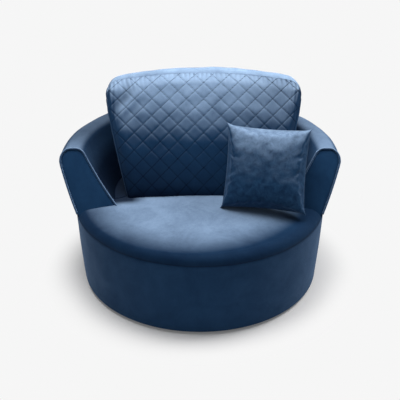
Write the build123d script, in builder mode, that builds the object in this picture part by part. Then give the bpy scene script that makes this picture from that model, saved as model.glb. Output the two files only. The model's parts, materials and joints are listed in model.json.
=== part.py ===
from build123d import *
import os
from math import asin, atan2, ceil, cos, degrees, hypot, radians, sin, sqrt, tan

os.makedirs("parts", exist_ok=True)

# A round swivel armchair. Millimetres, +Z up, the swivel axis is the Z axis,
# the floor is Z = 0 and the open front of the seat faces -Y.

# Outline of the chair
chair_width = 1240.0
arm_height = 620.0
arm_top_width = 118.0
arm_roll_radius = 48.0
arm_front_y = -160.0
arm_rake = 32.0
shell_foot_width = 197.0
drum_rim_radius = 559.0
drum_foot_radius = 534.0
drum_floor_gap = 12.0
seam_height = 360.0
seat_crown_height = 430.0
seat_shoulder_radius = 505.0
seat_shoulder_share = 0.486

# Upholstery layers
cover_thickness = 6.0
hem_thickness = 2.5
hem_width = 40.0
panel_thickness = 4.0
shell_foam_thickness = 30.0
facing_thickness = 14.0
piping_radius = 4.5
cloth_thickness = 1.0
webbing_thickness = 2.0
webbing_width = 50.0
webbing_pitch = 110.0
webbing_count = 6
layer_gap = 0.3
loose_gap = 0.4
cushion_gap = 1.0

# Timber frame
board_thickness = 18.0
base_disc_radius = 370.0
base_disc_thickness = 18.0
turning_gap = 22.0
lower_ring_width = 104.0
upper_ring_width = 187.0
upper_ring_thickness = 22.0
seam_over_ring = 8.0
staple_width = 36.0
post_size = 45.0
post_count = 8
post_ring_radius = 480.0
rib_count = 7
rib_first_angle = 12.0
rib_frame_width = 26.0
edge_break = 2.0

# Glides and screws
glide_radius = 18.0
glide_height = 8.0
glide_ring_radius = 340.0
glide_count = 8
screw_length = 16.0
screw_radius = 2.0
screw_head_radius = 4.5
screw_head_height = 2.5
screw_recess = 1.0
screw_clearance = 0.2
plate_screw_count = 6

# Ball-race swivel
swivel_height = 20.0
plate_thickness = 3.0
plate_gap = 6.0
plate_radius = 165.0
flange_width = 32.0
plate_step = 16.0
race_radius = 95.0
ball_radius = 5.0
ball_count = 12
race_clearance = 0.2
cage_thickness = 1.5
cage_width = 22.0
pin_radius = 6.0
pin_head_radius = 15.0
pin_fit = 0.05
washer_thickness = 1.5
nut_height = 7.0
nut_across_flats = 19.0
nut_room = 20.0

# Back cushion
back_shift = 16.0
back_foot_width = 662.0
back_top_width = 898.0
back_panel_height = 585.0
back_arch = 48.0
back_corner_radius = 68.0
back_front_foot_y = -97.0
back_lean = 31.26
back_crown = 50.0
back_foot_depth = 462.0
back_middle_depth = 458.0
back_top_depth = 215.0
back_side_depth = 52.0
back_shoulder_drop = 60.0
back_top_puff = 16.0
back_sink = 30.0
quilt_thickness = 20.0
quilt_pitch = 54.0
quilt_groove_width = 5.0
quilt_groove_depth = 6.0

# Zip in the underside of the back cushion
zip_length = 500.0
zip_y = 200.0
zip_tape_width = 14.0
zip_tape_thickness = 1.5
zip_slider_length = 16.0
zip_slider_width = 9.0
zip_slider_height = 4.5
zip_room = 4.0

# Scatter cushion
scatter_size = 380.0
scatter_thickness = 150.0
scatter_edge = 9.0
scatter_draw_in = 15.0
scatter_centre = (286.0, -131.0, 586.0)
scatter_turn = -10.0
scatter_lean = 28.0

# Heights that follow from the sizes above
seat_shoulder_height = seam_height + seat_shoulder_share * (seat_crown_height - seam_height)
base_disc_top = glide_height + base_disc_thickness
swivel_middle = base_disc_top + swivel_height / 2
chassis_low = base_disc_top + swivel_height
chassis_top = chassis_low + board_thickness
hem_top = drum_floor_gap + hem_thickness
lower_ring_low = hem_top + layer_gap
ring_top = seam_height - seam_over_ring
ring_low = ring_top - upper_ring_thickness
webbing_top = ring_top + 2 * webbing_thickness
cloth_top = webbing_top + cloth_thickness
wall_inset = cover_thickness + layer_gap
frame_inset = wall_inset + panel_thickness + layer_gap
padded_inset = wall_inset + shell_foam_thickness + layer_gap
rib_inset = padded_inset + panel_thickness + layer_gap
far_out = chair_width


def drum_radius(height):
    """Outer radius of the tapered drum at a height."""
    share = (height - drum_floor_gap) / (seam_height - drum_floor_gap)
    return drum_foot_radius + (drum_rim_radius - drum_foot_radius) * share


# The shell's cross-section: two straight sides that meet a roll at each top edge
roll_height = arm_height - arm_roll_radius
outer_roll = (chair_width / 2 - arm_roll_radius, roll_height)
inner_roll = (chair_width / 2 - arm_top_width + arm_roll_radius, roll_height)
outer_foot = (drum_rim_radius, seam_height)
inner_foot = (drum_rim_radius - shell_foot_width, seam_height)


def side_angle(foot, roll, side):
    """Angle of the straight side that leaves the foot and touches the roll."""
    run = roll[0] - foot[0]
    rise = roll[1] - foot[1]
    return atan2(rise, run) - side * asin(arm_roll_radius / hypot(run, rise))


outer_angle = side_angle(outer_foot, outer_roll, 1)
inner_angle = side_angle(inner_foot, inner_roll, -1)


def outer_side(height, grow=0.0):
    """Radius of the shell's outer side at a height, moved outward by grow."""
    return outer_foot[0] + (height - seam_height) / tan(outer_angle) + grow / sin(outer_angle)


def inner_side(height, grow=0.0):
    """Radius of the shell's inner side at a height, moved inward by grow."""
    return inner_foot[0] + (height - seam_height) / tan(inner_angle) - grow / sin(inner_angle)


outer_turn_height = roll_height - arm_roll_radius * cos(outer_angle)
frame_top = outer_turn_height


def shell_section(grow, low):
    """Half section of the shell down to a height, grown or shrunk all round."""
    roll = arm_roll_radius + grow
    outer_start = degrees(outer_angle) - 90
    inner_end = degrees(inner_angle) + 90
    outer_turn = Vector(outer_roll) + Vector(roll, 0).rotate(Axis.Z, outer_start)
    inner_turn = Vector(inner_roll) + Vector(roll, 0).rotate(Axis.Z, inner_end)
    with BuildSketch(Plane.XZ) as face:
        with BuildLine():
            Line((outer_side(low, grow), low), outer_turn)
            CenterArc(outer_roll, roll, outer_start, 90 - outer_start)
            Line((outer_roll[0], arm_height + grow), (inner_roll[0], arm_height + grow))
            CenterArc(inner_roll, roll, 90, inner_end - 90)
            Line(inner_turn, (inner_side(low, grow), low))
            Line((inner_side(low, grow), low), (outer_side(low, grow), low))
        make_face()
    return face.sketch


def section(*corners):
    """Half section with straight sides, as radius and height."""
    with BuildSketch(Plane.XZ) as face:
        with BuildLine():
            Polyline(*corners, close=True)
        make_face()
    return face.sketch


def box_section(inner, outer, low, high):
    """Half section of a plain ring."""
    return section((inner, low), (outer, low), (outer, high), (inner, high))


def side_section(side, near, far, low, high):
    """Half section of a sheet that follows one side of the shell."""
    return section(
        (side(low, -near), low),
        (side(low, -far), low),
        (side(high, -far), high),
        (side(high, -near), high),
    )


def front_plane(forward):
    """Raked plane of the arm fronts, moved forward along its normal."""
    normal = Vector(0, -cos(radians(arm_rake)), sin(radians(arm_rake)))
    origin = Vector(0, arm_front_y, seam_height) + normal * forward
    return Plane(origin=origin, x_dir=(1, 0, 0), z_dir=normal)


facing_back = front_plane(-facing_thickness)
board_front = front_plane(-facing_thickness - layer_gap)
board_back = front_plane(-facing_thickness - layer_gap - board_thickness)
frame_front = front_plane(-facing_thickness - board_thickness - 2 * layer_gap)

# The seat's dome: a wide crown that turns over a smaller rim roll to the seam
crown_drop = seat_crown_height - seat_shoulder_height
crown_radius = (seat_shoulder_radius**2 + crown_drop**2) / (2 * crown_drop)
shoulder_angle = asin(seat_shoulder_radius / crown_radius)
rim_run = drum_rim_radius - seat_shoulder_radius
rim_fall = seat_shoulder_height - seam_height
rim_reach = rim_fall * cos(shoulder_angle) - rim_run * sin(shoulder_angle)
rim_roll = (rim_run**2 + rim_fall**2) / (2 * rim_reach)
rim_centre_r = seat_shoulder_radius - rim_roll * sin(shoulder_angle)
rim_centre_z = seat_shoulder_height - rim_roll * cos(shoulder_angle)


def seat_height(radius):
    """Height of the seat's crown at a radius."""
    return seat_crown_height - crown_radius + sqrt(crown_radius**2 - radius**2)


def seat_section(inset, low):
    """Half section of the seat dome, shrunk by inset, down to a height."""
    crown = crown_radius - inset
    roll = rim_roll - inset
    crown_centre = seat_crown_height - crown_radius
    middle = shoulder_angle / 2
    crown_top = (0, crown_centre + crown)
    crown_middle = (crown * sin(middle), crown_centre + crown * cos(middle))
    shoulder = (crown * sin(shoulder_angle), crown_centre + crown * cos(shoulder_angle))
    end_angle = asin((seam_height - rim_centre_z) / roll)
    mid_angle = (end_angle + radians(90) - shoulder_angle) / 2
    rim_end = (rim_centre_r + roll * cos(end_angle), seam_height)
    rim_middle = (rim_centre_r + roll * cos(mid_angle), rim_centre_z + roll * sin(mid_angle))
    with BuildSketch(Plane.XZ) as face:
        with BuildLine():
            ThreePointArc(crown_top, crown_middle, shoulder)
            ThreePointArc(shoulder, rim_middle, rim_end)
            Polyline(rim_end, (rim_end[0], low), (0, low), crown_top)
        make_face()
    return face.sketch


def keep(builder, label):
    """Label a finished piece and write it out."""
    builder.part.label = label
    export_step(builder.part, f"parts/{label}.step")


# Screws, drawn once with the underside of the head at Z = 0 and the shank downward
screw_outline = section(
    (0, screw_head_height),
    (screw_head_radius, screw_head_height),
    (screw_head_radius, 0),
    (screw_radius, 0),
    (screw_radius, -screw_length),
    (0, -screw_length),
)
with BuildPart() as screw:
    revolve(screw_outline, axis=Axis.Z)

screw_hole = screw_radius + screw_clearance
glide_screw_seat = screw_recess + screw_head_height
flange_screw_ring = plate_radius - flange_width / 2
lower_flange_top = base_disc_top + plate_thickness
upper_flange_low = chassis_low - plate_thickness

# Floor glides: one on the swivel axis and a ring of them near the edge of the base
glide_outline = section(
    (screw_hole, glide_screw_seat),
    (screw_head_radius + screw_recess, glide_screw_seat),
    (screw_head_radius + screw_recess, 0),
    (glide_radius - edge_break, 0),
    (glide_radius, edge_break),
    (glide_radius, glide_height),
    (screw_hole, glide_height),
)
with BuildPart() as glide:
    revolve(glide_outline, axis=Axis.Z)

with BuildPart() as floor_glides:
    add(glide.part)
    with PolarLocations(glide_ring_radius, glide_count):
        add(glide.part)
keep(floor_glides, "floor_glides")

with BuildPart() as glide_screws:
    with Locations(Location((0, 0, glide_screw_seat), (180, 0, 0))):
        add(screw.part)
    with PolarLocations(glide_ring_radius, glide_count):
        with Locations(Location((0, 0, glide_screw_seat), (180, 0, 0))):
            add(screw.part)
keep(glide_screws, "glide_screws")

with BuildPart() as base_disc:
    with BuildSketch(Plane.XY.offset(glide_height)):
        Circle(base_disc_radius)
    extrude(amount=base_disc_thickness)
    chamfer(base_disc.edges(), edge_break)
    with BuildSketch(Plane.XY.offset(glide_height)):
        Circle(screw_hole)
        with PolarLocations(glide_ring_radius, glide_count):
            Circle(screw_hole)
    extrude(amount=screw_length + glide_screw_seat - glide_height + screw_recess, mode=Mode.SUBTRACT)
    with BuildSketch(Plane.XY.offset(base_disc_top)):
        with PolarLocations(flange_screw_ring, plate_screw_count):
            Circle(screw_hole)
    extrude(amount=plate_thickness - screw_length - screw_recess, mode=Mode.SUBTRACT)
keep(base_disc, "base_disc")


def swivel_plate_section(side):
    """Half section of a pressed plate with a ball race, below (-1) or above (1) the balls."""
    near = swivel_middle + side * plate_gap / 2
    deck = near + side * plate_thickness
    flange_far = swivel_middle + side * swivel_height / 2
    flange_near = flange_far - side * plate_thickness
    flange_start = plate_radius - flange_width
    bore = pin_radius + pin_fit
    bead = ball_radius + race_clearance + plate_thickness
    with BuildSketch(Plane.XZ) as face:
        with BuildLine():
            Polyline(
                (bore, deck),
                (flange_start - plate_step, deck),
                (flange_start, flange_far),
                (plate_radius, flange_far),
                (plate_radius, flange_near),
                (flange_start + edge_break, flange_near),
                (flange_start - plate_step + edge_break, near),
                (bore, near),
                close=True,
            )
        make_face()
        with Locations((race_radius, swivel_middle)):
            Circle(bead)
        with Locations((race_radius, near - side * bead)):
            Rectangle(3 * bead, 2 * bead, mode=Mode.SUBTRACT)
        with Locations((race_radius, swivel_middle)):
            Circle(ball_radius + race_clearance, mode=Mode.SUBTRACT)
    return face.sketch


with BuildPart() as lower_swivel_plate:
    revolve(swivel_plate_section(-1), axis=Axis.Z)
    with BuildSketch(Plane.XY.offset(base_disc_top)):
        with PolarLocations(flange_screw_ring, plate_screw_count):
            Circle(screw_hole)
    extrude(amount=plate_thickness, mode=Mode.SUBTRACT)
keep(lower_swivel_plate, "lower_swivel_plate")

with BuildPart() as lower_plate_screws:
    with PolarLocations(flange_screw_ring, plate_screw_count):
        with Locations((0, 0, lower_flange_top)):
            add(screw.part)
keep(lower_plate_screws, "lower_plate_screws")

with BuildPart() as upper_swivel_plate:
    revolve(swivel_plate_section(1), axis=Axis.Z)
    with BuildSketch(Plane.XY.offset(upper_flange_low)):
        with PolarLocations(flange_screw_ring, plate_screw_count):
            Circle(screw_hole)
    extrude(amount=plate_thickness, mode=Mode.SUBTRACT)
keep(upper_swivel_plate, "upper_swivel_plate")

with BuildPart() as upper_plate_screws:
    with PolarLocations(flange_screw_ring, plate_screw_count):
        with Locations(Location((0, 0, upper_flange_low), (180, 0, 0))):
            add(screw.part)
keep(upper_plate_screws, "upper_plate_screws")

# Ball cage and balls, which orbit between the two plates
with BuildPart() as ball_cage:
    with BuildSketch(Plane.XY.offset(swivel_middle - cage_thickness / 2)):
        Circle(race_radius + cage_width / 2)
        Circle(race_radius - cage_width / 2, mode=Mode.SUBTRACT)
        with PolarLocations(race_radius, ball_count):
            Circle(ball_radius + race_clearance, mode=Mode.SUBTRACT)
    extrude(amount=cage_thickness)
keep(ball_cage, "ball_cage")

with BuildPart() as bearing_balls:
    with PolarLocations(race_radius, ball_count):
        with Locations((0, 0, swivel_middle)):
            Sphere(ball_radius)
keep(bearing_balls, "bearing_balls")

# King pin, washer and nut that hold the plates together
lower_deck_low = swivel_middle - plate_gap / 2 - plate_thickness
upper_deck_top = swivel_middle + plate_gap / 2 + plate_thickness
washer_low = upper_deck_top + pin_fit
nut_low = washer_low + washer_thickness
pin_top = nut_low + nut_height
pin_outline = section(
    (0, base_disc_top + layer_gap),
    (pin_head_radius, base_disc_top + layer_gap),
    (pin_head_radius, lower_deck_low),
    (pin_radius, lower_deck_low),
    (pin_radius, pin_top),
    (0, pin_top),
)
with BuildPart() as king_pin:
    revolve(pin_outline, axis=Axis.Z)
keep(king_pin, "king_pin")

with BuildPart() as thrust_washer:
    revolve(box_section(pin_radius + pin_fit, pin_head_radius, washer_low, nut_low), axis=Axis.Z)
keep(thrust_washer, "thrust_washer")

with BuildPart() as king_nut:
    with BuildSketch(Plane.XY.offset(nut_low)):
        RegularPolygon(nut_across_flats / 2, 6, major_radius=False)
        Circle(pin_radius + pin_fit, mode=Mode.SUBTRACT)
    extrude(amount=nut_height)
keep(king_nut, "king_nut")

# Drum frame
lower_ring_outer = drum_radius(lower_ring_low) - frame_inset
upper_ring_outer = drum_radius(ring_low) - frame_inset
upper_ring_inner = upper_ring_outer - upper_ring_width
webbing_reach = upper_ring_inner + staple_width

with BuildPart() as chassis_board:
    with BuildSketch(Plane.XY.offset(chassis_low)):
        Circle(drum_radius(chassis_low) - frame_inset)
        Circle(pin_head_radius + nut_room / 2, mode=Mode.SUBTRACT)
    extrude(amount=board_thickness)
    with BuildSketch(Plane.XY.offset(chassis_low)):
        with PolarLocations(flange_screw_ring, plate_screw_count):
            Circle(screw_hole)
    extrude(amount=screw_length - plate_thickness + screw_recess, mode=Mode.SUBTRACT)
keep(chassis_board, "chassis_board")

lower_ring_inner = lower_ring_outer - lower_ring_width
with BuildPart() as lower_ring:
    revolve(box_section(lower_ring_inner, lower_ring_outer, lower_ring_low, chassis_low), axis=Axis.Z)
keep(lower_ring, "lower_ring")

with BuildPart() as drum_posts:
    with BuildSketch(Plane.XY.offset(chassis_top)):
        with PolarLocations(post_ring_radius, post_count, start_angle=180 / post_count):
            Rectangle(post_size, post_size)
    extrude(amount=ring_low - chassis_top)
    with BuildSketch(Plane.XY.offset(ring_low)):
        with PolarLocations(post_ring_radius, post_count, start_angle=180 / post_count):
            Circle(screw_hole)
    extrude(amount=-(2 * screw_length), mode=Mode.SUBTRACT)
keep(drum_posts, "drum_posts")

with BuildPart() as upper_ring:
    revolve(box_section(upper_ring_inner, upper_ring_outer, ring_low, ring_top), axis=Axis.Z)
    with BuildSketch(Plane.XY.offset(ring_top)):
        with PolarLocations(post_ring_radius, post_count, start_angle=180 / post_count):
            Circle(screw_hole)
    extrude(amount=-upper_ring_thickness, mode=Mode.SUBTRACT)
    with BuildSketch(Plane.XY.offset(ring_top)):
        with PolarLocations(post_ring_radius, post_count, start_angle=180 / post_count):
            Circle(screw_head_radius + screw_clearance)
    extrude(amount=-screw_head_height, mode=Mode.SUBTRACT)
keep(upper_ring, "upper_ring")

post_screw_outline = section(
    (0, ring_top),
    (screw_head_radius, ring_top),
    (screw_head_radius, ring_top - screw_head_height),
    (screw_radius, ring_top - screw_head_height),
    (screw_radius, ring_low - screw_length),
    (0, ring_low - screw_length),
)
with BuildPart() as post_screw:
    revolve(post_screw_outline, axis=Axis.Z)

with BuildPart() as post_screws:
    with PolarLocations(post_ring_radius, post_count, start_angle=180 / post_count):
        add(post_screw.part)
keep(post_screws, "post_screws")

# Drum panel, padded border and dust cover
panel_near = wall_inset
panel_far = wall_inset + panel_thickness
drum_panel_outline = section(
    (drum_radius(lower_ring_low) - panel_near, lower_ring_low),
    (drum_radius(ring_top) - panel_near, ring_top),
    (drum_radius(ring_top) - panel_far, ring_top),
    (drum_radius(lower_ring_low) - panel_far, lower_ring_low),
)
with BuildPart() as drum_panel:
    revolve(drum_panel_outline, axis=Axis.Z)
keep(drum_panel, "drum_panel")

drum_cover_outline = section(
    (drum_foot_radius, drum_floor_gap),
    (drum_rim_radius, seam_height),
    (drum_rim_radius - cover_thickness, seam_height),
    (drum_radius(hem_top) - cover_thickness, hem_top),
    (drum_foot_radius - hem_width, hem_top),
    (drum_foot_radius - hem_width, drum_floor_gap),
)
with BuildPart() as drum_cover:
    revolve(drum_cover_outline, axis=Axis.Z)
keep(drum_cover, "drum_cover")

dust_cover_top = lower_ring_low - layer_gap
dust_cover_outline = box_section(
    base_disc_radius + turning_gap,
    drum_foot_radius - hem_width - layer_gap,
    dust_cover_top - cloth_thickness,
    dust_cover_top,
)
with BuildPart() as dust_cover:
    revolve(dust_cover_outline, axis=Axis.Z)
keep(dust_cover, "dust_cover")

# Seat platform: elastic webbing both ways and a cloth over it
with BuildPart() as webbing_long:
    with BuildSketch(Plane.XY.offset(ring_top)):
        with GridLocations(webbing_pitch, 0, webbing_count, 1):
            Rectangle(webbing_width, 2 * webbing_reach)
        Circle(webbing_reach, mode=Mode.INTERSECT)
    extrude(amount=webbing_thickness)
keep(webbing_long, "webbing_long")

with BuildPart() as webbing_cross:
    with BuildSketch(Plane.XY.offset(ring_top + webbing_thickness)):
        with GridLocations(0, webbing_pitch, 1, webbing_count):
            Rectangle(2 * webbing_reach, webbing_width)
        Circle(webbing_reach, mode=Mode.INTERSECT)
    extrude(amount=webbing_thickness)
keep(webbing_cross, "webbing_cross")

with BuildPart() as platform_cloth:
    with BuildSketch(Plane.XY.offset(webbing_top)):
        Circle(webbing_reach)
    extrude(amount=cloth_thickness)
keep(platform_cloth, "platform_cloth")

# Seat foam and its velvet top, notched round the shell
with BuildPart() as shell_room:
    revolve(shell_section(loose_gap, ring_low), axis=Axis.Z)
    split(bisect_by=front_plane(loose_gap), keep=Keep.BOTTOM)

with BuildPart() as seat_foam:
    revolve(seat_section(wall_inset, cloth_top), axis=Axis.Z)
    add(shell_room.part, mode=Mode.SUBTRACT)
keep(seat_foam, "seat_foam")

with BuildPart() as seat_cover:
    revolve(seat_section(0, ring_top), axis=Axis.Z)
    revolve(seat_section(cover_thickness, ring_low), axis=Axis.Z, mode=Mode.SUBTRACT)
    revolve(box_section(0, far_out, ring_low, seam_height + layer_gap), axis=Axis.Z, mode=Mode.SUBTRACT)
    add(shell_room.part, mode=Mode.SUBTRACT)
keep(seat_cover, "seat_cover")

# Shell frame: ribs on the upper ring, a top rail and a panel on each side
rail_low = frame_top - board_thickness


def rib_plane(angle):
    """Upright plane through the swivel axis at an angle from +X."""
    turn = radians(angle)
    return Plane(origin=(0, 0, 0), x_dir=(cos(turn), sin(turn), 0), z_dir=(sin(turn), -cos(turn), 0))


rib_step = (180 - 2 * rib_first_angle) / (rib_count - 1)
rib_window_low = ring_top + rib_frame_width
rib_window_high = rail_low - rib_frame_width
with BuildPart() as shell_ribs:
    for rib in range(rib_count):
        with BuildSketch(rib_plane(rib_first_angle + rib * rib_step)):
            with BuildLine():
                Polyline(
                    (inner_side(ring_top, -rib_inset), ring_top),
                    (outer_side(ring_top, -frame_inset), ring_top),
                    (outer_side(rail_low, -frame_inset), rail_low),
                    (inner_side(rail_low, -rib_inset), rail_low),
                    close=True,
                )
            make_face()
            with BuildLine():
                Polyline(
                    (inner_side(rib_window_low, -rib_inset - rib_frame_width), rib_window_low),
                    (outer_side(rib_window_low, -frame_inset - rib_frame_width), rib_window_low),
                    (outer_side(rib_window_high, -frame_inset - rib_frame_width), rib_window_high),
                    (inner_side(rib_window_high, -rib_inset - rib_frame_width), rib_window_high),
                    close=True,
                )
            make_face(mode=Mode.SUBTRACT)
        extrude(amount=board_thickness / 2, both=True)
keep(shell_ribs, "shell_ribs")

rail_outline = section(
    (inner_side(rail_low, -rib_inset), rail_low),
    (outer_side(rail_low, -frame_inset), rail_low),
    (outer_side(frame_top, -frame_inset), frame_top),
    (inner_side(frame_top, -rib_inset), frame_top),
)
with BuildPart() as top_rail:
    revolve(rail_outline, axis=Axis.Z)
    split(bisect_by=frame_front, keep=Keep.BOTTOM)
keep(top_rail, "top_rail")

with BuildPart() as shell_inner_panel:
    revolve(
        side_section(inner_side, padded_inset, padded_inset + panel_thickness, ring_top, frame_top),
        axis=Axis.Z,
    )
    split(bisect_by=frame_front, keep=Keep.BOTTOM)
keep(shell_inner_panel, "shell_inner_panel")

with BuildPart() as shell_outer_panel:
    revolve(
        side_section(outer_side, wall_inset, wall_inset + panel_thickness, ring_top, frame_top),
        axis=Axis.Z,
    )
    split(bisect_by=frame_front, keep=Keep.BOTTOM)
keep(shell_outer_panel, "shell_outer_panel")

# Shell padding: down the inner side and over the top
frame_room = section(
    (inner_side(ring_low, -padded_inset + layer_gap), ring_low),
    (far_out, ring_low),
    (far_out, frame_top + layer_gap),
    (inner_side(frame_top + layer_gap, -padded_inset + layer_gap), frame_top + layer_gap),
)
with BuildPart() as shell_foam:
    revolve(shell_section(-wall_inset, seam_height), axis=Axis.Z)
    revolve(frame_room, axis=Axis.Z, mode=Mode.SUBTRACT)
    split(bisect_by=frame_front, keep=Keep.BOTTOM)
keep(shell_foam, "shell_foam")

# Shell covers: one over the inside and the top, one round the outside
middle_foot = (inner_side(ring_low) + outer_side(ring_low)) / 2
middle_top = (inner_side(outer_turn_height) + outer_side(outer_turn_height)) / 2


def outer_half(top):
    """Half section that holds the shell's outer side up to a height."""
    return section((middle_foot, ring_low), (far_out, ring_low), (far_out, top), (middle_top, top))


with BuildPart() as shell_inner_cover:
    revolve(shell_section(0, seam_height), axis=Axis.Z)
    revolve(shell_section(-cover_thickness, ring_low), axis=Axis.Z, mode=Mode.SUBTRACT)
    revolve(outer_half(outer_turn_height), axis=Axis.Z, mode=Mode.SUBTRACT)
    split(bisect_by=front_plane(0), keep=Keep.BOTTOM)
keep(shell_inner_cover, "shell_inner_cover")

with BuildPart() as shell_outer_cover:
    revolve(
        side_section(outer_side, 0, cover_thickness, seam_height, outer_turn_height - layer_gap),
        axis=Axis.Z,
    )
    split(bisect_by=front_plane(0), keep=Keep.BOTTOM)
keep(shell_outer_cover, "shell_outer_cover")

# Arm fronts: a board that stands on the ring, a padded facing and piping round it
platform_room = box_section(0, webbing_reach + loose_gap, ring_low, seam_height)
with BuildPart() as arm_boards:
    revolve(shell_section(-wall_inset, ring_top), axis=Axis.Z)
    revolve(platform_room, axis=Axis.Z, mode=Mode.SUBTRACT)
    split(bisect_by=board_front, keep=Keep.BOTTOM)
    split(bisect_by=board_back, keep=Keep.TOP)

with BuildPart() as arm_board_left:
    add(arm_boards.part)
    split(bisect_by=Plane.YZ, keep=Keep.BOTTOM)
keep(arm_board_left, "arm_board_left")

with BuildPart() as arm_board_right:
    add(arm_boards.part)
    split(bisect_by=Plane.YZ, keep=Keep.TOP)
keep(arm_board_right, "arm_board_right")

with BuildPart() as arm_facings:
    revolve(shell_section(-wall_inset, seam_height), axis=Axis.Z)
    split(bisect_by=front_plane(0), keep=Keep.BOTTOM)
    split(bisect_by=facing_back, keep=Keep.TOP)

with BuildPart() as arm_facing_left:
    add(arm_facings.part)
    split(bisect_by=Plane.YZ, keep=Keep.BOTTOM)
keep(arm_facing_left, "arm_facing_left")

with BuildPart() as arm_facing_right:
    add(arm_facings.part)
    split(bisect_by=Plane.YZ, keep=Keep.TOP)
keep(arm_facing_right, "arm_facing_right")

piping_plane = front_plane(piping_radius + layer_gap)
piping_inset = cover_thickness / 2
piping_lift = 2 * piping_radius


def piping_point(radius, height):
    """Point of the left piping's path, at a radius and height of the shell."""
    depth = arm_front_y + (height - seam_height) * tan(radians(arm_rake))
    spot = Vector(-sqrt(radius**2 - depth**2), depth, height)
    return spot + piping_plane.z_dir * (piping_radius + layer_gap)


piping_top = arm_height - piping_inset
piping_outer_low = seam_height + piping_lift
piping_inner_low = seat_height(inner_side(seat_shoulder_height)) + piping_lift
piping_roll = arm_roll_radius - piping_inset
with BuildPart() as arm_piping_left:
    with BuildLine() as piping_path:
        FilletPolyline(
            piping_point(outer_side(piping_outer_low, -piping_inset), piping_outer_low),
            piping_point(outer_side(piping_top, -piping_inset), piping_top),
            piping_point(inner_side(piping_top, -piping_inset), piping_top),
            piping_point(inner_side(piping_inner_low, -piping_inset), piping_inner_low),
            radius=piping_roll,
        )
    with BuildSketch(Plane(origin=piping_path.line @ 0, z_dir=piping_path.line % 0)):
        Circle(piping_radius)
    sweep()
keep(arm_piping_left, "arm_piping_left")

with BuildPart() as arm_piping_right:
    add(arm_piping_left.part)
    mirror(about=Plane.YZ, mode=Mode.REPLACE)
keep(arm_piping_right, "arm_piping_right")

# Room that the seat and the shell take, which the loose cushions are shaped to
with BuildPart() as seat_room:
    revolve(seat_section(-layer_gap, ring_low), axis=Axis.Z)

with BuildPart() as shell_inside_room:
    revolve(shell_section(cushion_gap, ring_low), axis=Axis.Z)

with BuildPart() as arm_room:
    revolve(shell_section(2 * piping_radius, ring_low), axis=Axis.Z)
    split(bisect_by=front_plane(2 * (piping_radius + layer_gap)), keep=Keep.BOTTOM)

# Back cushion. Its front lies in a leaning frame: across, up the lean and outward.
back_low = seat_crown_height - back_sink
back_side_slope = (back_top_width - back_foot_width) / 2 / (back_panel_height - back_arch)
back_sin = sin(radians(back_lean))
back_cos = cos(radians(back_lean))
back_frame = Plane(
    origin=(back_shift, back_front_foot_y, back_low),
    x_dir=(1, 0, 0),
    z_dir=(0, -back_cos, back_sin),
)
back_profile_frame = Plane(
    origin=back_frame.origin,
    x_dir=back_frame.y_dir,
    z_dir=(1, 0, 0),
)
half_panel = back_panel_height / 2
front_bow = (half_panel**2 + back_crown**2) / (2 * back_crown)
front_axis = (half_panel, back_crown - front_bow)


def back_front_core(inset):
    """Long round bar behind the cushion's crowned front, inset from it."""
    with BuildPart() as bar:
        with BuildSketch(back_profile_frame):
            with Locations(front_axis):
                Circle(front_bow - inset)
        extrude(amount=back_top_width, both=True)
    return bar.part


# Outline of the quilted front: sides that flare, an arched top and rounded corners
back_corner = (back_top_width / 2, back_panel_height - back_arch)


def bowed(start, end, bow):
    """Arc between two points, bowed sideways by a distance, on the left of start to end."""
    start = Vector(start)
    end = Vector(end)
    along = (end - start).normalized()
    middle = (start + end) / 2 + Vector(-along.Y, along.X) * bow
    return ThreePointArc(start, middle, end)


def back_spot(up, behind):
    """Point of the side profile from its place up the lean and behind the front's chord."""
    return (back_front_foot_y + up * back_sin + behind, back_low + up * back_cos)


# The filled case is what three blocks share: a side profile, a front outline and a rounded plan
case_front = back_front_foot_y - 2 * back_crown
case_foot = back_spot(0, back_foot_depth)
case_hip = back_spot((arm_height - back_low) / back_cos - arm_roll_radius, back_middle_depth)
case_shoulder = back_spot(back_panel_height - back_shoulder_drop, back_top_depth)
case_top = back_spot(back_panel_height + back_top_puff, 0)
with BuildPart() as case_profile_block:
    with BuildSketch(Plane.YZ.offset(back_shift)):
        with BuildLine():
            Polyline(case_hip, case_foot, (case_front, back_low), (case_front, case_top[1]), case_top)
            bowed(case_top, case_shoulder, back_top_puff)
            bowed(case_shoulder, case_hip, back_top_puff / 2)
        make_face()
    extrude(amount=chair_width, both=True)

case_corner = (back_corner[0], back_corner[1] * back_cos + back_top_puff)
case_arch_top = back_panel_height * back_cos + back_top_puff
case_view = Plane(origin=(back_shift, case_front - back_crown, back_low), x_dir=(1, 0, 0), z_dir=(0, -1, 0))
case_side = back_foot_width / 2
with BuildPart() as case_outline_block:
    with BuildSketch(case_view) as case_outline:
        with BuildLine():
            Polyline(
                (-case_corner[0], case_corner[1]),
                (-case_side, 0),
                (-case_side, -back_sink),
                (case_side, -back_sink),
                (case_side, 0),
                case_corner,
            )
            ThreePointArc(case_corner, (0, case_arch_top), (-case_corner[0], case_corner[1]))
        make_face()
        fillet(case_outline.vertices().sort_by(Axis.Y)[-2:], back_corner_radius)
    extrude(amount=-chair_width)

case_depth = back_middle_depth * back_cos + back_crown / 2
case_sag = case_depth - back_side_depth
case_bow = (back_corner[0] ** 2 + case_sag**2) / (2 * case_sag)
case_plan = Plane(origin=back_frame.origin, x_dir=(1, 0, 0), z_dir=back_frame.y_dir)
with BuildPart() as case_plan_block:
    with BuildSketch(case_plan):
        with Locations((0, case_depth - case_bow)):
            Circle(case_bow)
    extrude(amount=chair_width, both=True)

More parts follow.
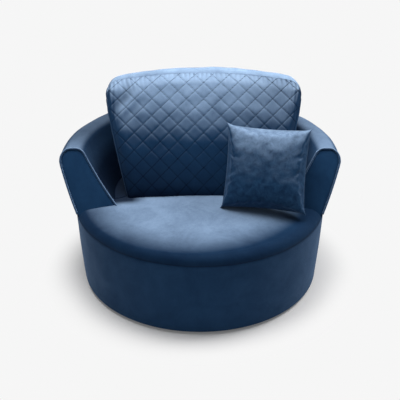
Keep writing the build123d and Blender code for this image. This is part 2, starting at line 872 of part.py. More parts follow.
# The zip lies in a straight channel along the underside
zip_slider_low = seat_height(zip_y) + zip_room
zip_tape_low = zip_slider_low + zip_slider_height + loose_gap
zip_channel_top = zip_tape_low + zip_tape_thickness
zip_end = zip_length / 2
case_core = back_front_core(quilt_thickness + layer_gap)
with BuildPart() as back_cushion_case:
    add(case_profile_block.part)
    add(case_outline_block.part, mode=Mode.INTERSECT)
    add(case_plan_block.part, mode=Mode.INTERSECT)
    add(case_core, mode=Mode.INTERSECT)
    add(shell_inside_room.part, mode=Mode.SUBTRACT)
    add(seat_room.part, mode=Mode.SUBTRACT)
    with BuildSketch(Plane.XY.offset(zip_channel_top)):
        with Locations((back_shift, zip_y)):
            Rectangle(zip_length + 2 * loose_gap, zip_tape_width + 2 * loose_gap)
    extrude(amount=ring_low - zip_channel_top, mode=Mode.SUBTRACT)
keep(back_cushion_case, "back_cushion_case")

with BuildPart() as back_zip_tape:
    with BuildSketch(Plane.XY.offset(zip_tape_low)):
        with Locations((back_shift, zip_y)):
            Rectangle(zip_length, zip_tape_width)
    extrude(amount=zip_tape_thickness)
keep(back_zip_tape, "back_zip_tape")

with BuildPart() as back_zip_slider:
    with BuildSketch(Plane.XY.offset(zip_slider_low)):
        with Locations((back_shift - zip_end + zip_slider_length, zip_y)):
            Rectangle(zip_slider_length, zip_slider_width)
    extrude(amount=zip_slider_height)
    fillet(back_zip_slider.edges().filter_by(Axis.Z), zip_slider_width / 4)
keep(back_zip_slider, "back_zip_slider")

# Quilted front: an arched outline whose lower edge follows the seat


def back_foot_up(across):
    """Height up the lean where the back of the quilted front clears the seat."""
    deep = back_front_foot_y + back_sink * back_sin / back_cos + quilt_thickness * back_cos
    rise = seat_height(hypot(back_shift + across, deep)) + layer_gap - back_low
    bow_reach = sqrt((front_bow - quilt_thickness) ** 2 - (rise / back_cos - half_panel) ** 2)
    behind = front_bow - back_crown - bow_reach
    return (rise + behind * back_sin) / back_cos + layer_gap


foot_left = (-back_foot_width / 2, back_foot_up(-back_foot_width / 2))
foot_middle = (0, back_foot_up(0))
foot_right = (back_foot_width / 2, back_foot_up(back_foot_width / 2))
with BuildPart() as back_outline_block:
    with BuildSketch(back_frame.offset(-front_bow / 2)) as back_outline:
        with BuildLine():
            Line((-back_corner[0], back_corner[1]), foot_left)
            ThreePointArc(foot_left, foot_middle, foot_right)
            Line(foot_right, back_corner)
            ThreePointArc(back_corner, (0, back_panel_height), (-back_corner[0], back_corner[1]))
        make_face()
        fillet(back_outline.vertices().sort_by(Axis.Y)[-2:], back_corner_radius)
    extrude(amount=front_bow)

# Diamond quilting: grooves along both diagonals leave raised diamonds on a backing layer
quilt_reach = back_top_width + back_panel_height
quilt_lines = ceil(quilt_reach / sqrt(2) / quilt_pitch)
with BuildPart() as quilt_diamonds:
    add(back_front_core(0))
    add(back_outline_block.part, mode=Mode.INTERSECT)
    add(back_front_core(quilt_groove_depth + layer_gap), mode=Mode.SUBTRACT)
    for diagonal in (45, -45):
        with Locations(back_frame):
            with Locations(Location((0, half_panel, 0), (0, 0, diagonal))):
                with GridLocations(0, quilt_pitch, 1, quilt_lines):
                    Box(quilt_reach, quilt_groove_width, 4 * back_crown, mode=Mode.SUBTRACT)

with BuildPart() as back_cushion_front:
    add(back_front_core(quilt_groove_depth))
    add(back_outline_block.part, mode=Mode.INTERSECT)
    add(back_front_core(quilt_thickness), mode=Mode.SUBTRACT)
    add(quilt_diamonds.part)
keep(back_cushion_front, "back_cushion_front")

# Scatter cushion, lofted through lens-shaped slices with its sides drawn in
turn = radians(scatter_turn)
lean = radians(scatter_lean)
scatter_across = Vector(cos(turn), sin(turn), 0)
scatter_out = Vector(sin(turn) * cos(lean), -cos(turn) * cos(lean), sin(lean))
scatter_frame = Plane(origin=scatter_centre, x_dir=scatter_across, z_dir=scatter_out)
scatter_slices = (-1.0, -0.86, -0.5, 0.0, 0.5, 0.86, 1.0)
scatter_side_bow = (scatter_size**2 / 4 + scatter_draw_in**2) / (2 * scatter_draw_in)


def scatter_slice(share):
    """Lens-shaped slice of the scatter cushion, from -1 at its left side to 1 at its right."""
    bulk = 1 - share**4
    half_height = scatter_size / 2 - scatter_draw_in * (1 - share**2)
    half_thickness = scatter_edge / 2 + (scatter_thickness - scatter_edge) / 2 * bulk
    origin = scatter_frame.origin + scatter_frame.x_dir * (share * scatter_size / 2)
    plane = Plane(origin=origin, x_dir=scatter_frame.y_dir, z_dir=scatter_frame.x_dir)
    with BuildSketch(plane) as face:
        with BuildLine():
            ThreePointArc((-half_height, 0), (0, half_thickness), (half_height, 0))
            ThreePointArc((half_height, 0), (0, -half_thickness), (-half_height, 0))
        make_face()
    return face.sketch


with BuildPart() as scatter_cushion:
    loft([scatter_slice(share) for share in scatter_slices])
    with Locations(scatter_frame):
        for side in (-1, 1):
            with Locations((side * (scatter_size / 2 - scatter_draw_in + scatter_side_bow), 0, 0)):
                Cylinder(scatter_side_bow, 2 * scatter_thickness, mode=Mode.SUBTRACT)
    add(seat_room.part, mode=Mode.SUBTRACT)
    add(arm_room.part, mode=Mode.SUBTRACT)
keep(scatter_cushion, "scatter_cushion")
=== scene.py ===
import json
from math import acos, asin, atan2, cos, degrees, hypot, pi, radians, sin, sqrt, tan

import bpy
import numpy as np
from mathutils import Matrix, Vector, noise

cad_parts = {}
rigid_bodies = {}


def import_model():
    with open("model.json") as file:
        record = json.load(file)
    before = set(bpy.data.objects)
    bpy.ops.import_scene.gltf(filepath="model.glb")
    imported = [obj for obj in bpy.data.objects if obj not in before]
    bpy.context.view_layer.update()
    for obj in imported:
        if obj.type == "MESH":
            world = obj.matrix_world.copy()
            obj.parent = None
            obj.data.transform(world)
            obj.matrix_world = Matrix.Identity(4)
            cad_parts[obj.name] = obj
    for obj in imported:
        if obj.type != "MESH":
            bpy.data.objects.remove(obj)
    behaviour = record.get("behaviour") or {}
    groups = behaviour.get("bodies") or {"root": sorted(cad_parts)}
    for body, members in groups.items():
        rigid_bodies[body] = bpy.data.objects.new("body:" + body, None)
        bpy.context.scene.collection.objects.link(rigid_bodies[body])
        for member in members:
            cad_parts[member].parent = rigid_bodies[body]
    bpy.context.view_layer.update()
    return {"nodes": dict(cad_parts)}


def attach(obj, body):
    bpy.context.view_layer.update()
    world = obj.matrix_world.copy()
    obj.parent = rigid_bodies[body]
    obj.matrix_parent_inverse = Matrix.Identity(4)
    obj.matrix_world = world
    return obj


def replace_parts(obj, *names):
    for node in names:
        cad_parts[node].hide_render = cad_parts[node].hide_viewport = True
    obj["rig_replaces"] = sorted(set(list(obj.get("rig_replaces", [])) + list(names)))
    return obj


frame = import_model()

# Lengths in this file are millimetres until a mesh is made, and the frame is the CAD model's.
MM = 0.001
scene = bpy.context.scene


# Small helpers for meshes


def mesh_piece(name, points, faces):
    """Smooth-shaded mesh object from points in millimetres."""
    mesh = bpy.data.meshes.new(name)
    mesh.from_pydata((np.asarray(points, float).reshape(-1, 3) * MM).tolist(), [], faces)
    mesh.update()
    mesh.polygons.foreach_set("use_smooth", [True] * len(mesh.polygons))
    piece = bpy.data.objects.new(name, mesh)
    scene.collection.objects.link(piece)
    return piece


def grid_faces(rows, columns, wrap_rows=False, wrap_columns=False, start=0):
    """Quads of a grid whose points are listed row by row."""
    faces = []
    for row in range(rows if wrap_rows else rows - 1):
        here = start + row * columns
        after = start + (row + 1) % rows * columns
        for column in range(columns if wrap_columns else columns - 1):
            beside = (column + 1) % columns
            faces.append((here + column, here + beside, after + beside, after + column))
    return faces


def ripple(points, size, seed=0.0):
    """Smooth noise from -1 to 1 at each point, with features of about a size."""
    flat = np.asarray(points, float).reshape(-1, 3) / size + seed
    found = np.array([noise.noise(Vector(p)) for p in flat])
    return found.reshape(np.asarray(points).shape[:-1])


def ramp(value, start, end):
    """0 up to the start, 1 from the end on, and straight between them."""
    return np.clip((value - start) / (end - start), 0.0, 1.0)


def along_normals(points):
    """Unit normals of an open grid of points."""
    normals = np.cross(np.gradient(points, axis=1), np.gradient(points, axis=0))
    lengths = np.linalg.norm(normals, axis=-1, keepdims=True)
    return normals / np.maximum(lengths, 1e-9)


def store(piece, name, values):
    """Keep a value on each point, such as the painted shade that darkens the velvet or the fade of its
    painted highlight.
    """
    layer = piece.data.attributes.new(name, "FLOAT", "POINT")
    layer.data.foreach_set("value", np.asarray(values, np.float32).ravel())


# The chair's own lines, the same as in the part's source

seam_height = 360.0
arm_height = 620.0
roll_radius = 48.0
outer_roll = (572.0, 572.0)
inner_roll = (550.0, 572.0)
outer_foot = (559.0, seam_height)
inner_foot = (362.0, seam_height)
arm_front_y = -160.0
arm_rake = radians(32.0)
front_normal = np.array([0.0, -cos(arm_rake), sin(arm_rake)])


def side_angle(foot, roll, side):
    """Angle of a straight side of the shell that touches its roll."""
    run = roll[0] - foot[0]
    rise = roll[1] - foot[1]
    return atan2(rise, run) - side * asin(roll_radius / hypot(run, rise))


outer_angle = side_angle(outer_foot, outer_roll, 1)
inner_angle = side_angle(inner_foot, inner_roll, -1)


def shell_line(step):
    """Shell section from the outer foot over the top to the inner foot, as radius and height."""
    outer_start = outer_angle - pi / 2
    inner_end = inner_angle + pi / 2
    turn_out = np.add(outer_roll, roll_radius * np.array([cos(outer_start), sin(outer_start)]))
    turn_in = np.add(inner_roll, roll_radius * np.array([cos(inner_end), sin(inner_end)]))
    runs = []

    def straight(start, end):
        count = max(2, round(hypot(end[0] - start[0], end[1] - start[1]) / step))
        runs.append(np.linspace(start, end, count, endpoint=False))

    def arc(centre, first, last):
        count = max(3, round(roll_radius * abs(last - first) / step))
        turns = np.linspace(first, last, count, endpoint=False)
        runs.append(centre + roll_radius * np.stack([np.cos(turns), np.sin(turns)], -1))

    straight(outer_foot, turn_out)
    arc(outer_roll, outer_start, pi / 2)
    straight((outer_roll[0], arm_height), (inner_roll[0], arm_height))
    arc(inner_roll, pi / 2, inner_end)
    straight(turn_in, inner_foot)
    runs.append(np.array([inner_foot]))
    return np.concatenate(runs)


def front_y(height):
    """Where the raked arm front lies at a height."""
    return arm_front_y + (height - seam_height) * tan(arm_rake)


def inner_wall(height):
    """Radius of the shell's inner side at a height, wide open above the arms."""
    if height > arm_height:
        return 2000.0
    turn = inner_roll[1] + roll_radius * cos(inner_angle)
    if height > turn:
        return inner_roll[0] - sqrt(max(roll_radius**2 - (height - inner_roll[1]) ** 2, 0.0))
    return inner_foot[0] + (height - seam_height) / tan(inner_angle)


crown_height = 430.0
shoulder = (505.0, 394.0)
crown_drop = crown_height - shoulder[1]
crown_radius = (shoulder[0] ** 2 + crown_drop**2) / (2 * crown_drop)
shoulder_angle = asin(shoulder[0] / crown_radius)
rim_run = outer_foot[0] - shoulder[0]
rim_fall = shoulder[1] - seam_height
rim_reach = rim_fall * cos(shoulder_angle) - rim_run * sin(shoulder_angle)
rim_roll = (rim_run**2 + rim_fall**2) / (2 * rim_reach)
rim_centre = (
    shoulder[0] - rim_roll * sin(shoulder_angle),
    shoulder[1] - rim_roll * cos(shoulder_angle),
)


def seat_top(radius):
    """Height of the seat's top at a radius."""
    if radius < shoulder[0]:
        return crown_height - crown_radius + sqrt(crown_radius**2 - radius**2)
    return rim_centre[1] + sqrt(max(rim_roll**2 - (radius - rim_centre[0]) ** 2, 0.0))


# Small helpers for nodes


def wire(tree, kind, spot, **inputs):
    """Add a node and set or link its inputs by name; underscores stand for spaces."""
    made = tree.nodes.new(kind)
    made.location = spot
    for name, value in inputs.items():
        socket = made.inputs[name.replace("_", " ")]
        if isinstance(value, bpy.types.NodeSocket):
            tree.links.new(value, socket)
        else:
            socket.default_value = value
    return made


def math_node(tree, operation, first, second=0.5, third=0.0):
    """Result of a math node with up to three inputs."""
    made = tree.nodes.new("ShaderNodeMath")
    made.operation = operation
    for socket, value in zip(made.inputs, (first, second, third)):
        if isinstance(value, bpy.types.NodeSocket):
            tree.links.new(value, socket)
        else:
            socket.default_value = value
    return made.outputs[0]


def noise_node(tree, spot, place, scale, detail, **more):
    """Value of a noise texture."""
    made = wire(tree, "ShaderNodeTexNoise", spot, Vector=place, Scale=scale, Detail=detail, **more)
    return made.outputs["Fac"]


def range_node(tree, spot, value, smooth=False, **ends):
    """Value moved from one range to another."""
    made = wire(tree, "ShaderNodeMapRange", spot, Value=value, **ends)
    if smooth:
        made.interpolation_type = "SMOOTHSTEP"
    return made.outputs[0]


def object_place(tree):
    """Coordinates of the object itself."""
    return tree.nodes.new("ShaderNodeTexCoord").outputs["Object"]


def drawn_out(tree, spot, place, scale):
    """Coordinates stretched along the axes."""
    return wire(tree, "ShaderNodeMapping", spot, Vector=place, Scale=scale).outputs[0]


def mix_colours(tree, amount, dark, light):
    """Mix of two colours by a value; the first colour may come from another node."""
    made = tree.nodes.new("ShaderNodeMix")
    made.data_type = "RGBA"
    if isinstance(dark, bpy.types.NodeSocket):
        tree.links.new(dark, made.inputs[6])
    else:
        made.inputs[6].default_value = (*dark, 1.0)
    made.inputs[7].default_value = (*light, 1.0)
    tree.links.new(amount, made.inputs[0])
    return made.outputs[2]


def seen_rays(tree):
    """1 for rays that show in the picture, also by a mirror or through glass."""
    path = tree.nodes.new("ShaderNodeLightPath").outputs
    glimpsed = math_node(tree, "ADD", path["Is Glossy Ray"], path["Is Transmission Ray"])
    return math_node(tree, "ADD", path["Is Camera Ray"], glimpsed)


# Node groups that several materials share


def new_group(name, inputs, outputs):
    """Empty shader group with float inputs and outputs."""
    group = bpy.data.node_groups.new(name, "ShaderNodeTree")
    for label, value in inputs.items():
        made = group.interface.new_socket(label, in_out="INPUT", socket_type="NodeSocketFloat")
        made.default_value = value
    for label in outputs:
        group.interface.new_socket(label, in_out="OUTPUT", socket_type="NodeSocketFloat")
    given = group.nodes.new("NodeGroupInput").outputs
    return group, given, group.nodes.new("NodeGroupOutput").inputs


def pile_group():
    """Velvet pile: brushed patches, fine speckle, the pile's height, and how far the surface faces up,
    which sets its painted highlight.
    """
    group, given, out = new_group(
        "velvet_pile",
        {"Patch size": 9.0, "Patch depth": 0.5, "Pile size": 700.0, "Nap from": 0.5, "Nap to": 1.0},
        ("Shade", "Roughness", "Height", "Upward"),
    )
    place = object_place(group)
    normal = group.nodes.new("ShaderNodeNewGeometry").outputs["Normal"]
    facing = wire(group, "ShaderNodeSeparateXYZ", (0, 400), Vector=normal).outputs["Z"]
    highlight_ends = {"From_Min": given["Nap from"], "From_Max": given["Nap to"]}
    group.links.new(range_node(group, (300, 400), facing, True, **highlight_ends), out["Upward"])
    broad = noise_node(group, (0, 200), place, given["Patch size"], 5.0, Roughness=0.62, Distortion=0.6)
    brushed_and_shaded = drawn_out(group, (0, 0), place, (1.0, 1.0, 0.35))
    streaks = noise_node(group, (200, 0), brushed_and_shaded, 75.0, 4.0, Roughness=0.7)
    pile = noise_node(group, (0, -200), place, given["Pile size"], 2.0, Roughness=0.6)
    patch = range_node(group, (300, 200), broad, From_Min=0.32, From_Max=0.70)
    patch_part = math_node(group, "MULTIPLY", patch, 0.55)
    mixed = math_node(group, "MULTIPLY_ADD", streaks, 0.45, patch_part)
    off_middle = math_node(group, "SUBTRACT", mixed, 0.5)
    spread = math_node(group, "MULTIPLY", off_middle, given["Patch depth"])
    speckle = math_node(group, "MULTIPLY", math_node(group, "SUBTRACT", pile, 0.5), 0.35)
    shade = math_node(group, "ADD", math_node(group, "ADD", spread, 0.5), speckle)
    group.links.new(shade, out["Shade"])
    group.links.new(range_node(group, (500, 0), patch, To_Min=0.82, To_Max=0.62), out["Roughness"])
    streak_height = math_node(group, "MULTIPLY", streaks, 0.9)
    group.links.new(math_node(group, "MULTIPLY_ADD", pile, 0.55, streak_height), out["Height"])
    return group


def shade_attribute_group():
    """Painted shade in seams, stitch lines, folds and nooks, and the fade of the painted highlight, as
    stored on the mesh.
    """
    group, given, out = new_group("seam_and_shade_attributes", {"Strength": 1.0}, ("Dark", "Highlight fade"))
    stored = {}
    for name in ("seam_and_painted_shade", "painted_highlight_fade"):
        made = group.nodes.new("ShaderNodeAttribute")
        made.attribute_name = name
        stored[name] = made.outputs["Fac"]
    dark = math_node(group, "MULTIPLY", stored["seam_and_painted_shade"], given["Strength"])
    group.links.new(dark, out["Dark"])
    group.links.new(stored["painted_highlight_fade"], out["Highlight fade"])
    return group


def grain_group():
    """Wood grain along X with darker lines and fine pores."""
    group, given, out = new_group("wood_grain", {"Scale": 9.0}, ("Shade", "Height"))
    drawn = drawn_out(group, (0, 0), object_place(group), (0.25, 2.2, 2.2))
    lines = noise_node(group, (200, 0), drawn, given["Scale"], 6.0, Distortion=1.4)
    pores = noise_node(group, (200, -200), drawn, 140.0, 2.0)
    line_part = math_node(group, "MULTIPLY", lines, 0.75)
    group.links.new(math_node(group, "MULTIPLY_ADD", pores, 0.35, line_part), out["Shade"])
    group.links.new(pores, out["Height"])
    return group


def weave_group():
    """Plain weave of crossing threads."""
    group, given, out = new_group("plain_weave", {"Threads": 420.0}, ("Shade", "Height"))
    place = object_place(group)
    threads = []
    for spot, direction in (((0, 0), "X"), ((0, -200), "Y")):
        wave = wire(
            group, "ShaderNodeTexWave", spot, Vector=place, Scale=given["Threads"], Distortion=0.6
        )
        wave.bands_direction = direction
        threads.append(wave.outputs["Fac"])
    woven_height = math_node(group, "MULTIPLY", math_node(group, "ADD", *threads), 0.5)
    group.links.new(woven_height, out["Shade"])
    group.links.new(woven_height, out["Height"])
    return group


def worn_group():
    """Fine scratches and cloudy wear for metal and moulded plastic."""
    group, given, out = new_group("fine_wear", {"Scale": 60.0}, ("Shade", "Roughness", "Height"))
    place = object_place(group)
    cloud = noise_node(group, (0, 0), place, given["Scale"], 5.0)
    drawn = drawn_out(group, (0, -200), place, (4.0, 60.0, 60.0))
    group.links.new(cloud, out["Shade"])
    group.links.new(range_node(group, (300, 0), cloud, To_Min=0.26, To_Max=0.5), out["Roughness"])
    group.links.new(noise_node(group, (200, -200), drawn, 14.0, 3.0), out["Height"])
    return group


velvet_pile = pile_group()
seam_and_shade_attributes = shade_attribute_group()
wood_grain = grain_group()
plain_weave = weave_group()
fine_wear = worn_group()


# Materials

deep_navy = (0.003, 0.015, 0.046)
light_navy = (0.012, 0.046, 0.108)
# Colour of the painted highlight on the velvet, and the near-black of seams and painted shade.
painted_highlight_colour = (0.31, 0.44, 0.63)
seam_and_shade_black = (0.002, 0.006, 0.018)


def place_group(tree, group, **values):
    """Outputs of a shared group that is put into a material with its own values."""
    made = tree.nodes.new("ShaderNodeGroup")
    made.node_tree = group
    for name, value in values.items():
        made.inputs[name.replace("_", " ")].default_value = value
    return made.outputs


def bare_material(name):
    """New material, its nodes and the inputs of its Principled shader."""
    made = bpy.data.materials.new(name)
    made.use_nodes = True
    return made, made.node_tree, made.node_tree.nodes["Principled BSDF"].inputs


def bump_from(tree, shader, height, strength, distance):
    """Raise the surface by a height."""
    made = wire(tree, "ShaderNodeBump", (0, -400), Strength=strength, Distance=distance, Height=height)
    tree.links.new(made.outputs[0], shader["Normal"])


def velvet(
    name, highlight_range, lift, patch_size=9.0, patch_depth=0.55,
    dark=deep_navy, light=light_navy, sheen=0.22,
):
    """Cut-pile velvet: brushed in patches, with a painted highlight where the surface faces up or is
    seen edge-on, and painted shade from the mesh.
    """
    made, tree, shader = bare_material(name)
    highlight_inputs = {"Nap_from": highlight_range[0], "Nap_to": highlight_range[1]}
    pile = place_group(tree, velvet_pile, Patch_size=patch_size, Patch_depth=patch_depth, **highlight_inputs)
    stored_shade = place_group(tree, seam_and_shade_attributes)
    # Painted highlight: a pale colour mixed in where the surface faces up (lift sets how much) and a
    # little where it is seen edge-on; stored painted shade takes it away.
    edge_on = wire(tree, "ShaderNodeLayerWeight", (0, 600), Blend=0.35).outputs["Facing"]
    painted_edge_sheen = math_node(tree, "MULTIPLY", edge_on, 0.05)
    painted_highlight = math_node(tree, "MULTIPLY_ADD", pile["Upward"], lift, painted_edge_sheen)
    painted_highlight = math_node(tree, "MULTIPLY", painted_highlight, math_node(tree, "ADD", pile["Shade"], 0.45))
    painted_highlight = math_node(tree, "MULTIPLY", painted_highlight, math_node(tree, "SUBTRACT", 1.0, stored_shade["Highlight fade"]))
    colour = mix_colours(tree, pile["Shade"], dark, light)
    colour = mix_colours(tree, painted_highlight, colour, painted_highlight_colour)
    colour = mix_colours(tree, stored_shade["Dark"], colour, seam_and_shade_black)
    tree.links.new(colour, shader["Base Color"])
    tree.links.new(pile["Roughness"], shader["Roughness"])
    shader["Specular IOR Level"].default_value = 0.03
    # Painted shade also takes the sheen away.
    outside_painted_shade = math_node(tree, "SUBTRACT", 1.0, stored_shade["Dark"])
    tree.links.new(math_node(tree, "MULTIPLY", outside_painted_shade, sheen), shader["Sheen Weight"])
    shader["Sheen Roughness"].default_value = 0.42
    shader["Sheen Tint"].default_value = (0.34, 0.54, 0.86, 1.0)
    bump_from(tree, shader, pile["Height"], 0.30, 0.0012)
    return made


def timber(name, dark, light, scale):
    """Sawn or pressed wood."""
    made, tree, shader = bare_material(name)
    grain = place_group(tree, wood_grain, Scale=scale)
    tree.links.new(mix_colours(tree, grain["Shade"], dark, light), shader["Base Color"])
    shader["Roughness"].default_value = 0.7
    bump_from(tree, shader, grain["Height"], 0.25, 0.0006)
    return made


def woven(name, dark, light, threads):
    """Flat woven cloth or webbing."""
    made, tree, shader = bare_material(name)
    weave = place_group(tree, plain_weave, Threads=threads)
    tree.links.new(mix_colours(tree, weave["Shade"], dark, light), shader["Base Color"])
    shader["Roughness"].default_value = 0.9
    shader["Sheen Weight"].default_value = 0.15
    bump_from(tree, shader, weave["Height"], 0.4, 0.0004)
    return made


def hard_finish(name, dark, light, metallic, scale):
    """Metal or moulded plastic with fine wear."""
    made, tree, shader = bare_material(name)
    wear = place_group(tree, fine_wear, Scale=scale)
    tree.links.new(mix_colours(tree, wear["Shade"], dark, light), shader["Base Color"])
    tree.links.new(wear["Roughness"], shader["Roughness"])
    shader["Metallic"].default_value = metallic
    bump_from(tree, shader, wear["Height"], 0.15, 0.0003)
    return made


# Copies of one velvet that differ in how much painted highlight they get; the piping's paler colours
# and strong sheen make a partly painted highlight line.
navy_velvet = velvet("navy_velvet", (0.70, 1.0), 0.42)
seat_velvet = velvet("seat_velvet", (0.89, 1.0), 0.52, 7.0, 0.75)
quilt_velvet = velvet("quilt_velvet", (0.44, 0.93), 0.80, 8.0)
scatter_velvet = velvet(
    "scatter_velvet", (0.36, 0.88), 0.47, 38.0, 1.1, (0.003, 0.014, 0.042), (0.016, 0.054, 0.120)
)
piping_velvet = velvet(
    "piping_velvet", (0.4, 1.0), 0.6, dark=(0.004, 0.016, 0.046), light=(0.020, 0.056, 0.120), sheen=0.9
)
birch_ply = timber("birch_ply", (0.36, 0.24, 0.13), (0.66, 0.50, 0.32), 9.0)
pine_post = timber("pine_post", (0.46, 0.30, 0.14), (0.74, 0.56, 0.33), 14.0)
hardboard = timber("hardboard_brown", (0.13, 0.075, 0.04), (0.26, 0.16, 0.09), 60.0)
webbing = woven("black_webbing", (0.010, 0.010, 0.011), (0.055, 0.053, 0.055), 260.0)
lining = woven("black_lining", (0.006, 0.006, 0.007), (0.030, 0.030, 0.033), 700.0)
plated_steel = hard_finish("plated_steel", (0.42, 0.42, 0.41), (0.66, 0.66, 0.64), 1.0, 30.0)
screw_steel = hard_finish("screw_steel", (0.44, 0.41, 0.32), (0.68, 0.64, 0.52), 1.0, 90.0)
nylon = hard_finish("white_nylon", (0.66, 0.66, 0.62), (0.82, 0.82, 0.79), 0.0, 80.0)
glide_black = hard_finish("black_glide", (0.012, 0.012, 0.013), (0.035, 0.035, 0.037), 0.0, 70.0)
zip_metal = hard_finish("zip_metal", (0.10, 0.105, 0.115), (0.24, 0.25, 0.27), 1.0, 120.0)

node_finishes = {
    birch_ply: (
        "base_disc", "chassis_board", "lower_ring", "upper_ring",
        "shell_ribs", "top_rail", "arm_board_left", "arm_board_right",
    ),
    pine_post: ("drum_posts",),
    hardboard: ("drum_panel", "shell_inner_panel", "shell_outer_panel"),
    webbing: ("webbing_long", "webbing_cross"),
    lining: ("platform_cloth", "dust_cover", "back_zip_tape"),
    plated_steel: (
        "lower_swivel_plate", "upper_swivel_plate", "king_pin", "king_nut", "bearing_balls",
    ),
    screw_steel: ("glide_screws", "lower_plate_screws", "upper_plate_screws", "post_screws"),
    nylon: ("thrust_washer", "ball_cage"),
    glide_black: ("floor_glides",),
    zip_metal: ("back_zip_slider",),
}
for finish, nodes in node_finishes.items():
    for node in nodes:
        for place in frame["nodes"][node].material_slots:
            place.material = finish


def dress(piece, finish, slot, body, fill, *nodes):
    """Give a padded piece its finish, its body and the nodes that it stands for."""
    piece.data.materials.append(finish)
    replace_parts(piece, *nodes)
    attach(piece, body)


# Drum: a padded border whose lower edge turns under

drum_low = 12.0
drum_foot_radius = 534.0
drum_thickness = 6.5


def drum_radius(height):
    """Outer radius of the tapered drum at a height."""
    widening = outer_foot[0] - drum_foot_radius
    return drum_foot_radius + widening * (height - drum_low) / (seam_height - drum_low)


def make_drum():
    """Tapered drum with a soft lower edge and a tucked upper seam."""
    shares = np.linspace(0.0, 1.0, 40)
    profile = [(496.0, 14.5), (496.0, drum_low), (522.0, drum_low)]
    for turn in np.linspace(-pi / 2, 0.0, 6)[1:]:
        profile.append((527.0 + 7.3 * cos(turn), 19.0 + 7.0 * sin(turn)))
    for share in shares[1:]:
        height = 19.0 + (352.0 - 19.0) * share
        profile.append((drum_radius(height) + 2.2 * sin(pi * share) + 0.3, height))
    profile += [(558.0, 356.5), (556.0, 359.5), (552.5, 360.0), (550.0, 354.0)]
    for share in shares[::-6]:
        height = 24.0 + (345.0 - 24.0) * share
        profile.append((drum_radius(height) - drum_thickness, height))
    profile = np.array(profile)
    turns = np.linspace(0.0, 2 * pi, 288, endpoint=False)
    points = np.empty((len(profile), len(turns), 3))
    points[..., 0] = profile[:, :1] * np.sin(turns)
    points[..., 1] = profile[:, :1] * -np.cos(turns)
    points[..., 2] = profile[:, 1:]
    height = points[..., 2].copy()
    stretch = points * np.array([1.0, 1.0, 0.45])
    lift = 1.5 * ripple(stretch, 150.0, 3.1) + 0.7 * ripple(stretch, 48.0, 8.7)
    lift *= ramp(height, drum_low, 32.0) * ramp(height, 358.0, 346.0)
    outward = points / np.linalg.norm(points[..., :2], axis=-1, keepdims=True)
    outward[..., 2] = 0.0
    points += outward * lift[..., None]
    piece = mesh_piece("drum_border", points, grid_faces(*points.shape[:2], True, True))
    # Painted shade: a dark line where the drum's seam tucks under the seat's rim.
    store(piece, "seam_and_painted_shade", 0.6 * np.exp(-np.abs(height - seam_height) / 3.0))
    return piece


dress(make_drum(), navy_velvet, "velvet", "chair", 0.8, "drum_cover")


# Seat: a domed top that rolls over its rim to the seam

rim_start = 440.0
rim_top = (520.0, 400.3)
rim_middle = (527.0, 365.5)
rim_radius = 35.5
seat_underside = 357.0
seat_open_y = -118.0


def rim_curve(share, fullness):
    """Rolled rim of the seat from its top to the seam, fuller at the front than beside the arms."""
    if share < 0.3:
        along = share / 0.3
        bend = along * along * (3.0 - 2.0 * along)
        start_height = seat_top(rim_start)
        full_radius = rim_start + (rim_top[0] - rim_start) * along
        full = np.array([full_radius, start_height + (rim_top[1] - start_height) * bend])
        radius = rim_start + (shoulder[0] - rim_start) * along
    else:
        along = (share - 0.3) / 0.7
        turn = radians(101.0 - 111.0 * along)
        full = rim_middle + rim_radius * np.array([cos(turn), sin(turn)])
        radius = shoulder[0] + (outer_foot[0] - shoulder[0]) * sin(along * pi / 2)
    plain = np.array([radius, seat_top(radius)])
    return plain + (full - plain) * fullness


